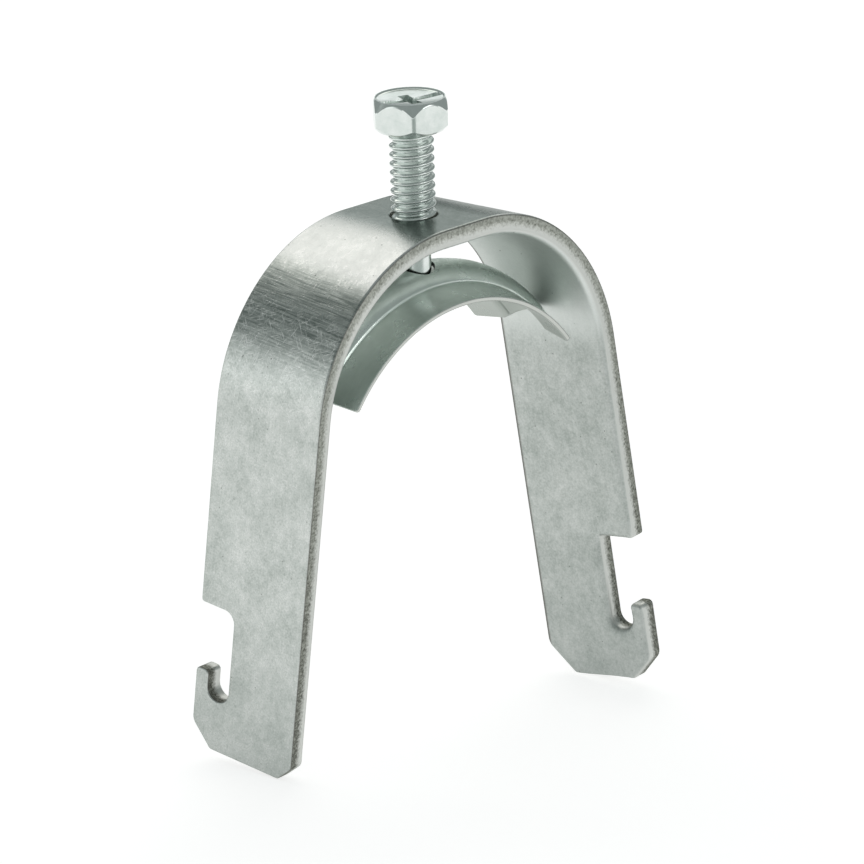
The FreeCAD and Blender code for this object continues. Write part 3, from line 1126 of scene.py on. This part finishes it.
@dataclass
class Saddle(FormedSheet):
    """Arched pressed plate with a round rib, sloping flanges and a hole for the pilot."""

    thickness: float = 0.7
    outer_round: float = 0.1
    outer_reach: float = 0.1
    inner_round: float = 0.15
    inner_reach: float = 0.15
    grid_u: float = 0.8
    grid_v: float = 0.14
    radius: float = 24.9
    width: float = 19.0
    arc_deg: float = 108.0
    flange_drop: float = 1.05
    rib_base: float = 8.0
    rib_height: float = 2.25
    rib_bend: float = 0.5
    crease_deg: float = 86.0
    crease_wall: float = 0.06
    crease_ease: float = 0.3
    hole_radius: float = 2.7
    hole_points: int = 64
    corner_round: float = 0.5
    outline_step: float = 0.7
    section_points: int = 4000
    crest_below_crown: float = 7.2

    def crease_radius(self) -> float:
        """Radius of the outer face where the rib meets the flanges."""
        return self.radius + self.thickness + self.flange_drop

    def section(self) -> tuple[Array, Array, Array]:
        """Outer face of the section from side to side.

        The curve is built from its slope: the rib is a circular arc that ends in a short steep
        crease, a small bend turns it back, and the flange runs straight down to its edge.

        Returns:
            Distance along the curve, points as (y, radius) and slope angles.
        """
        base = self.rib_base / 2.0
        rib = (base**2 + self.rib_height**2) / (2.0 * self.rib_height)
        run = self.width / 2.0 - base
        slope = math.atan2(self.flange_drop, run)
        flange = np.array([math.cos(slope), -math.sin(slope)])
        square = np.array([math.sin(slope), math.cos(slope)])
        start = np.array([base, rib - self.rib_height]) + self.rib_bend * square
        lead = float(start @ flange)
        span = lead**2 - float(start @ start) + (rib + self.rib_bend) ** 2
        reach = math.sqrt(span) - lead
        bend = start + flange * reach
        swing = math.atan2(bend[0], bend[1])
        back = self.rib_bend * (swing - slope) - self.crease_ease
        straight = run / math.cos(slope) - reach
        knots = np.cumsum([
            0.0, rib * swing, self.crease_ease, self.crease_wall, back, straight,
        ])
        along = np.linspace(0.0, knots[-1], self.section_points)
        steep = math.radians(self.crease_deg)
        angle = np.interp(along, knots, [0.0, swing, steep, steep, slope, slope])
        middle = (angle[1:] + angle[:-1]) / 2.0
        y = np.concatenate([[0.0], np.cumsum(np.cos(middle))]) * along[1]
        fall = np.concatenate([[0.0], np.cumsum(np.sin(middle))]) * along[1]
        level = self.crease_radius() + self.rib_height - fall
        along, y, angle = (np.concatenate([-half[:0:-1], half]) for half in (along, y, angle))
        return along, np.stack([y, np.concatenate([level[:0:-1], level])], axis=1), angle

    def outlines(self) -> list[Array]:
        """Plate outline with slightly rounded corners, and the pilot hole as it lies in plan.

        Returns:
            The outer outline and the hole.
        """
        along, points, _ = self.section()
        reach = math.radians(self.arc_deg / 2.0) * self.crease_radius()
        corners = np.array([
            (reach * way_u, along[-1] * way_v, self.corner_round)
            for way_u, way_v in ((-1, 1), (1, 1), (1, -1), (-1, -1))
        ])
        plan = circle_loop(self.hole_radius, self.hole_points)
        v = np.interp(plan[:, 1], points[:, 0], along)
        level = np.interp(v, along, points[:, 1])
        u = np.arcsin(plan[:, 0] / level) * self.crease_radius()
        return [rounded_loop(corners, self.outline_step), np.stack([u, v], axis=1)]

    def form(self, flat: Array, depth: Array) -> tuple[Array, Array, Array, Array]:
        """Sweeps the section round the conduit's axis: u goes round it, v along the section.

        Args:
            flat: Points on the flat sheet.
            depth: Depth of each point below the outer face.

        Returns:
            Formed points, and the unit vectors along the arch, across it and out of it.
        """
        along, points, slopes = self.section()
        slope = np.interp(flat[:, 1], along, slopes)
        cos, sin = np.cos(slope)[:, None], np.sin(slope)[:, None]
        y = np.interp(flat[:, 1], along, points[:, 0]) - depth * np.sin(slope)
        level = np.interp(flat[:, 1], along, points[:, 1]) - depth * np.cos(slope)
        turn = flat[:, 0] / self.crease_radius()
        zero = np.zeros_like(turn)
        radial = np.stack([np.sin(turn), zero, np.cos(turn)], axis=1)
        axial = np.array([0.0, 1.0, 0.0])
        centre = CROWN_HEIGHT - self.crest_below_crown - self.crease_radius() - self.rib_height
        formed = radial * level[:, None] + axial * y[:, None] + np.array([0.0, 0.0, centre])
        along_u = np.stack([np.cos(turn), zero, -np.sin(turn)], axis=1)
        return formed, along_u, axial * cos - radial * sin, radial * cos + axial * sin


@dataclass
class Screw(Piece):
    """Hexagon-head machine screw with a rolled thread, a plain pilot and a flared end."""

    across_flats: float = 9.9
    head_height: float = 4.5
    head_above_crown: float = 12.1
    top_chamfer: float = 0.12
    top_chamfer_deg: float = 63.0
    bottom_chamfer: float = 0.25
    corner_angle_deg: float = -10.0
    corner_radius: float = 0.8
    dish_share: float = 0.95
    dish_step: float = 0.25
    dish_depth: float = 0.3
    recess_lip: float = 0.08
    slot_across: float = 1.5
    slot_depth: float = 1.3
    slot_inset: float = 0.2
    slot_angle_deg: float = -18.0
    cross_length: float = 4.6
    cross_depth: float = 1.8
    thread_diameter: float = 6.22
    thread_depth: float = 0.62
    pitch: float = 1.27
    thread_phase: float = 0.21
    root_share: float = 0.02
    flank_share: float = 0.41
    thread_easing: float = 0.3
    # Share of a turn over which the thread fades under the head.
    runout_turns: float = 0.5
    shank_end: float = -4.8
    pilot_diameter: float = 4.4
    pilot_fillet: float = 0.12
    pilot_step: float = 0.02
    pilot_row: float = 1.6
    flare_diameter: float = 5.88
    flare_start: float = -8.4
    flare_end: float = -9.6
    flare_lip: float = 0.35
    # Rings on the top, a chamfer, the flats, the seat and one turn of the thread.
    top_rings: int = 72
    chamfer_rings: int = 8
    flat_rings: int = 10
    seat_rings: int = 6
    turn_rings: int = 16
    columns: int = 240
    sharp_deg: float = 30.0

    def hexagon(self, angle: Array) -> Array:
        """Radius of the head's plan: six flats, each pair joined by an arc round the corner.

        Args:
            angle: Angles round the axis.

        Returns:
            Distance of the plan's edge from the axis at each angle.
        """
        flat = self.across_flats / 2.0
        half = math.pi / 6.0
        turned = angle - math.radians(self.corner_angle_deg) + half
        from_corner = np.abs(turned % (2.0 * half) - half)
        centre = (flat - self.corner_radius) / math.cos(half)
        inset = self.corner_radius**2 - (centre * np.sin(from_corner)) ** 2
        arc = centre * np.cos(from_corner) + np.sqrt(np.maximum(inset, 0.0))
        reach = half - math.atan2((flat - self.corner_radius) * math.tan(half), flat)
        return np.where(from_corner < reach, arc, flat / np.cos(half - from_corner))

    def recess(self, radius: Array, angle: Array) -> Array:
        """Depth of the hollowed top, the slot along it and the shorter cross, with steep walls.

        Args:
            radius: Distance from the axis.
            angle: Angle round the axis.

        Returns:
            Depth below the head's top.
        """
        turned = angle - math.radians(self.slot_angle_deg)
        along = np.abs(radius * np.cos(turned))
        across = np.abs(radius * np.sin(turned))
        dish = self.dish_share * self.across_flats / 2.0
        lip = self.recess_lip
        depth = self.dish_depth * np.clip(1.0 - (radius / dish) ** 2, 0.0, 1.0)
        depth = depth + self.dish_step * np.clip((dish - radius) / (2.0 * lip), 0.0, 1.0)
        for reach_a, reach_b, floor in (
            (dish - self.slot_inset, self.slot_across / 2.0, self.slot_depth),
            (self.slot_across / 2.0, self.cross_length / 2.0, self.cross_depth),
        ):
            inner = np.minimum(reach_a - along, reach_b - across)
            depth = np.maximum(depth, floor * np.clip(inner / lip, 0.0, 1.0))
        return depth

    def thread(self, angle: Array, height: Array) -> Array:
        """Radius of the rolled thread: a trapezoid wave along the helix, faded at both ends.

        Args:
            angle: Angle round the axis.
            height: Height above the crown's top.

        Returns:
            Distance of the surface from the axis.
        """
        phase = (height / self.pitch - angle / (2.0 * np.pi) + self.thread_phase) % 1.0
        ramp = np.clip((0.5 - np.abs(phase - 0.5) - self.root_share) / self.flank_share, 0.0, 1.0)
        wave = ramp - self.thread_easing * np.sin(2.0 * np.pi * ramp) / (2.0 * np.pi)
        runout = self.runout_turns * self.pitch
        ends = np.clip((height - self.shank_end) / self.pitch, 0.0, 1.0)
        ends = ends * np.clip((self.head_above_crown - height) / runout, 0.0, 1.0)
        return self.thread_diameter / 2.0 - self.thread_depth * (1.0 - wave * ends)

    def rows(self, angle: Array) -> tuple[Array, Array]:
        """Rings of the screw from the middle of its top to the middle of its flared end.

        Args:
            angle: Angles of the columns.

        Returns:
            Radius and height of every ring at every column.
        """
        bottom = self.head_above_crown
        top = bottom + self.head_height
        flat = self.across_flats / 2.0
        rim = flat - self.top_chamfer
        low = flat - self.bottom_chamfer
        hexagon = self.hexagon(angle)[None, :]

        def share(count: int) -> Array:
            """Column of even steps from nought to one, without the first."""
            return np.linspace(0.0, 1.0, count + 1)[1:, None]

        inner = np.linspace(HUB, rim, self.top_rings)[:, None]
        upper = rim + share(self.chamfer_rings) * (hexagon - rim)
        upper_z = top - (upper - rim) * math.tan(math.radians(self.top_chamfer_deg))
        under = hexagon + share(self.chamfer_rings) * (low - hexagon)
        edge_z = upper_z[-1:]
        wall = edge_z + share(self.flat_rings) * (bottom + hexagon - low - edge_z)
        root = self.thread_diameter / 2.0 - self.thread_depth
        seat = low + share(self.seat_rings) * (root - low)
        count = int(round((bottom - self.shank_end) / self.pitch * self.turn_rings))
        turns = bottom + share(count) * (self.shank_end - bottom)
        pilot = self.pilot_diameter / 2.0
        flare = self.flare_diameter / 2.0
        neck = self.shank_end - self.pilot_step
        end = self.flare_end - self.flare_lip
        tail = np.array([
            (pilot + self.pilot_fillet, neck),
            (pilot, neck - self.pilot_fillet),
            (pilot, self.shank_end - self.pilot_row),
            (pilot, self.flare_start),
            ((pilot + flare) / 2.0, (self.flare_start + self.flare_end) / 2.0),
            (flare, self.flare_end),
            (flare, end + self.flare_lip / 2.0),
            (flare - self.flare_lip / 2.0, end),
            (flare / 2.0, end),
            (HUB, end),
        ])
        rings = (
            (inner, top - self.recess(inner, angle[None, :])),
            (upper, upper_z),
            (hexagon, wall),
            (under, bottom + (under - low)),
            (seat, bottom),
            (self.thread(angle[None, :], turns), turns),
            (tail[:, :1], tail[:, 1:]),
        )
        # Each pair is spread over all the columns before the rings are stacked.
        spread = [np.broadcast_arrays(r, z, hexagon)[:2] for r, z in rings]
        return np.vstack([r for r, _ in spread]), np.vstack([z for _, z in spread])

    def build(self, name: str) -> bpy.types.Object:
        """Makes the screw as one closed surface of rings round its axis.

        Args:
            name: Name of the piece.

        Returns:
            The mesh object, with the hard edges of head and pilot marked sharp.
        """
        angle = np.linspace(0.0, 2.0 * np.pi, self.columns, endpoint=False)
        angle = angle + math.radians(self.corner_angle_deg)
        radius, height = self.rows(angle)
        level = height + CROWN_HEIGHT
        ring = np.stack([radius * np.cos(angle), radius * np.sin(angle), level], axis=-1)
        poles = [[0.0, 0.0, level[row].mean()] for row in (0, -1)]
        points = np.vstack([ring.reshape(-1, 3), poles])
        index, faces = ring_faces(*radius.shape)
        head, foot = np.full(self.columns, radius.size), np.full(self.columns, radius.size + 1)
        faces += np.stack([head, index[0], following(index[0])], axis=-1).tolist()
        faces += np.stack([foot, following(index[-1]), index[-1]], axis=-1).tolist()
        piece = make_object(name, points, faces)
        self.sharpen(piece.data, points)
        return piece

    def sharpen(self, mesh: bpy.types.Mesh, points: Array) -> None:
        """Marks the hard edges sharp, but keeps the rolled thread smooth.

        Args:
            mesh: Mesh of the screw.
            points: Its vertices in millimetres.
        """
        mesh.set_sharp_from_angle(angle=math.radians(self.sharp_deg))
        ends = np.empty(2 * len(mesh.edges), np.int32)
        mesh.edges.foreach_get("vertices", ends)
        sharp = np.zeros(len(mesh.edges), bool)
        mesh.edges.foreach_get("use_edge_sharp", sharp)
        level = points[ends.reshape(-1, 2), 2].mean(axis=1) - CROWN_HEIGHT
        threaded = (level > self.shank_end) & (level < self.head_above_crown - EDGE_SLACK)
        mesh.edges.foreach_set("use_edge_sharp", sharp & ~threaded)


@dataclass(frozen=True)
class Softbox:
    """Soft rectangular lamp that looks at the clamp, as bright as a card of the given radiance."""

    name: str
    place_mm: tuple[float, float, float]
    width_mm: float
    height_mm: float
    radiance: float
    colour: str = "#FFFFFF"
    aim_mm: tuple[float, float, float] = (0.0, 0.0, 70.0)

    def light(self) -> None:
        """Adds the lamp."""
        data = bpy.data.lights.new(self.name, "AREA")
        data.shape = "RECTANGLE"
        data.size = self.width_mm * MM
        data.size_y = self.height_mm * MM
        data.energy = self.radiance * math.pi * data.size * data.size_y
        data.color = hex_to_linear(self.colour)[:3]
        lamp = bpy.data.objects.new(self.name, data)
        bpy.context.scene.collection.objects.link(lamp)
        place = Vector(self.place_mm) * MM
        lamp.location = place
        lamp.visible_camera = False
        lamp.rotation_mode = "QUATERNION"
        lamp.rotation_quaternion = (Vector(self.aim_mm) * MM - place).to_track_quat("-Z", "Y")


@dataclass(frozen=True)
class Studio:
    """White floor with a low rim, soft lamps and the camera at the photograph's viewpoint."""

    floor_radius_mm: float = 1200.0
    floor_drop_mm: float = 0.05
    rim_mm: float = 60.0
    floor_rings: int = 8
    rim_rings: int = 13
    floor_columns: int = 96
    floor_glow: float = 0.72
    floor_shade: float = 0.55
    floor_white: float = 0.8
    room: str = "#949B9A"
    flag_angle_deg: float = -114.0
    flag_near_mm: float = 170.0
    flag_far_mm: float = 560.0
    flag_half_mm: float = 190.0
    flag_height_mm: float = 1.0
    flag_tone: str = "#DCE3E1"
    camera_place_mm: tuple[float, float, float] = (-449.73, -474.14, 271.55)
    azimuth_deg: float = -43.62
    elevation_deg: float = 19.26
    roll_deg: float = -1.87
    lens_mm: float = 208.333
    sensor_mm: float = 36.0
    clip_mm: tuple[float, float] = (10.0, 50000.0)
    lamps: tuple[Softbox, ...] = (
        Softbox("back_softbox", (428.0, 693.0, 1080.0), 1900.0, 830.0, 1.25, "#FFFAF5"),
        Softbox("left_card", (-980.0, 600.0, 260.0), 1200.0, 440.0, 0.9),
        Softbox("right_card", (793.0, 833.0, 535.0), 1100.0, 377.0, 0.7),
        Softbox("front_card", (140.0, -874.0, 230.0), 520.0, 200.0, 2.2),
    )

    def floor(self) -> None:
        """Round floor: a flat disc and a quarter-round rim, turned about the screw's axis."""
        turn = np.linspace(0.0, np.pi / 2.0, self.rim_rings)
        flat = np.linspace(HUB, self.floor_radius_mm, self.floor_rings)[:-1]
        radius = np.concatenate([flat, self.floor_radius_mm + self.rim_mm * np.sin(turn)])[:, None]
        level = np.concatenate([np.zeros_like(flat), self.rim_mm * (1.0 - np.cos(turn))])[:, None]
        angle = np.linspace(0.0, 2.0 * np.pi, self.floor_columns, endpoint=False)
        grid = np.stack(np.broadcast_arrays(
            radius * np.cos(angle), radius * np.sin(angle), level - self.floor_drop_mm
        ), axis=-1)
        index, faces = ring_faces(*grid.shape[:2])
        floor = make_object("floor", grid.reshape(-1, 3), faces + [index[0].tolist()])
        floor.data.materials.append(self.card())

    def card(self) -> bpy.types.Material:
        """Matt white card that shows white to the eye and in the metal, and keeps a soft shadow.

        Returns:
            The floor's material.
        """
        material, tree = blank_material("matt_white_card")
        path = add_node(tree, "LightPath").node.outputs
        seen = path["Is Camera Ray"]
        for ray in ("Is Glossy Ray", "Is Transmission Ray"):
            seen = add_node(tree, "Math", {0: seen, 1: path[ray]}, operation="MAXIMUM")
        plain, shade = (
            add_node(tree, "BsdfDiffuse", {"Color": (tone, tone, tone, 1.0)})
            for tone in (self.floor_white, self.floor_shade)
        )
        glow = add_node(tree, "Emission", {"Strength": self.floor_glow})
        white = add_node(tree, "AddShader", {0: shade, 1: glow})
        mixed = add_node(tree, "MixShader", {0: seen, 1: plain, 2: white})
        add_node(tree, "OutputMaterial", {"Surface": mixed})
        return material

    def flag(self) -> None:
        """Pale grey card on the floor in front, seen only in the metal: it draws the corners."""
        angle = math.radians(self.flag_angle_deg)
        ahead = np.array([math.cos(angle), math.sin(angle), 0.0])
        aside = np.array([-ahead[1], ahead[0], 0.0]) * self.flag_half_mm
        near, far = ahead * self.flag_near_mm, ahead * self.flag_far_mm
        corners = np.array([near - aside, far - aside, far + aside, near + aside])
        corners[:, 2] = self.flag_height_mm
        flag = make_object("flag", corners, [[0, 1, 2, 3]])
        flag.visible_camera = False
        flag.visible_diffuse = False
        flag.visible_shadow = False
        material, tree = blank_material("grey_card")
        card = add_node(tree, "BsdfDiffuse", {"Color": hex_to_linear(self.flag_tone)})
        add_node(tree, "OutputMaterial", {"Surface": card})
        flag.data.materials.append(material)

    def light(self) -> None:
        """Sets the grey room and the soft lamps."""
        world = bpy.data.worlds.new("grey_room")
        world.use_nodes = True
        room = world.node_tree.nodes["Background"].inputs
        room["Color"].default_value = hex_to_linear(self.room)
        room["Strength"].default_value = 1.0
        bpy.context.scene.world = world
        for lamp in self.lamps:
            lamp.light()

    def camera(self) -> None:
        """Places the camera: its back axis from azimuth and elevation, then the roll about it."""
        azimuth, elevation, roll = map(
            math.radians, (self.azimuth_deg, self.elevation_deg, self.roll_deg)
        )
        level = Vector((math.cos(azimuth), math.sin(azimuth), 0.0))
        back = Vector((
            math.sin(azimuth) * math.cos(elevation),
            -math.cos(azimuth) * math.cos(elevation),
            math.sin(elevation),
        ))
        right = level * math.cos(roll) + back.cross(level) * math.sin(roll)
        data = bpy.data.cameras.new("camera")
        data.lens = self.lens_mm
        data.sensor_width = self.sensor_mm
        data.clip_start, data.clip_end = (distance * MM for distance in self.clip_mm)
        camera = bpy.data.objects.new("camera", data)
        bpy.context.scene.collection.objects.link(camera)
        turn = Matrix((right, back.cross(right), back)).transposed().to_4x4()
        camera.matrix_world = Matrix.Translation(Vector(self.camera_place_mm) * MM) @ turn
        bpy.context.scene.camera = camera


def main() -> None:
    """Builds the clamp piece by piece, then the studio."""
    logging.basicConfig(level=logging.INFO, format="%(name)s %(message)s")
    bpy.context.scene.view_settings.view_transform = "Standard"
    Strap().dress("strap_strip", GalvanisedStrip(), Body.STRAP, Slot.STRIP)
    Saddle().dress("saddle_plate", PlatedSheet(), Body.SADDLE, Slot.SHEET)
    Screw().dress("clamp_screw", PlatedScrew(), Body.SCREW, Slot.SCREW)
    studio = Studio()
    studio.floor()
    studio.flag()
    studio.light()
    studio.camera()


if __name__ == "__main__":
    main()
